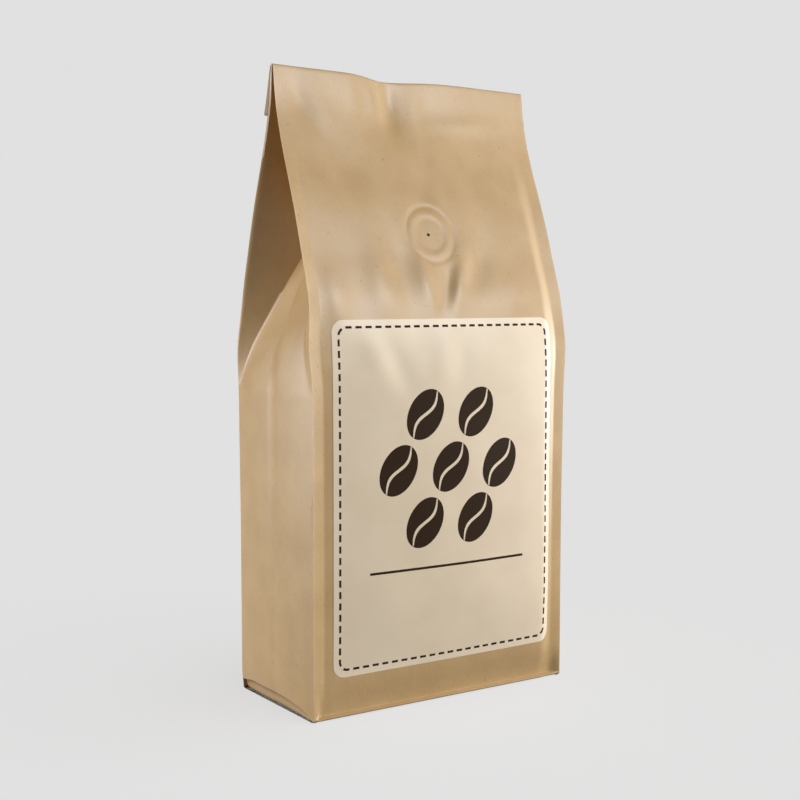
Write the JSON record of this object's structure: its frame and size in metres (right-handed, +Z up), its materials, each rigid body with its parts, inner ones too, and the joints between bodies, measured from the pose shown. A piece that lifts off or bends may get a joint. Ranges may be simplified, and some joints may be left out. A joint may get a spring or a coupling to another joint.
{
  "type": "filled paper coffee bag",
  "caption": "Filled side-fold kraft paper coffee bag, closed, with a folded top, valve relief and a blank cream label with a dashed border and a bean motif.",
  "frame": {"origin": "on the floor, under the middle of the bag's bounding box", "axes": "+Z up along the bag's height, -Y out of the front panel with the label, +X to the right when the front panel is faced"},
  "size_m": [0.1148, 0.0614, 0.229],
  "materials": {
    "kraft_paper": "matt",
    "label_paper": "satin"
  },
  "bodies": {
    "root": {"bag": "kraft_paper", "label": "label_paper"}
  },
  "joints": []
}
